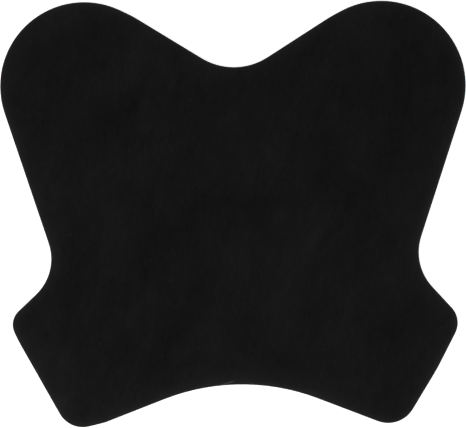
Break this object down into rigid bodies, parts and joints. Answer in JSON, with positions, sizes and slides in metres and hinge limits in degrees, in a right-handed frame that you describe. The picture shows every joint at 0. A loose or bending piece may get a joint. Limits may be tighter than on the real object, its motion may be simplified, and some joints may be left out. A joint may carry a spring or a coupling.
{
  "type": "thumb protector",
  "caption": "Flat soft pad of napped cloth on foam, cut to a butterfly outline with a notched top, a drawn-in waist and a hollow hem, laid round the thumb to cushion it.",
  "frame": {"origin": "on the back face, under the middle of the pad's box", "axes": "+Z out of the napped face, +Y from the hem to the notch, +X to the right as the face is looked at"},
  "size_m": [0.1002, 0.0918, 0.003],
  "materials": {
    "napped_cloth": "matt black napped knit on foam, with a plain cut edge"
  },
  "bodies": {
    "root": {"pad": "napped_cloth"}
  },
  "joints": []
}
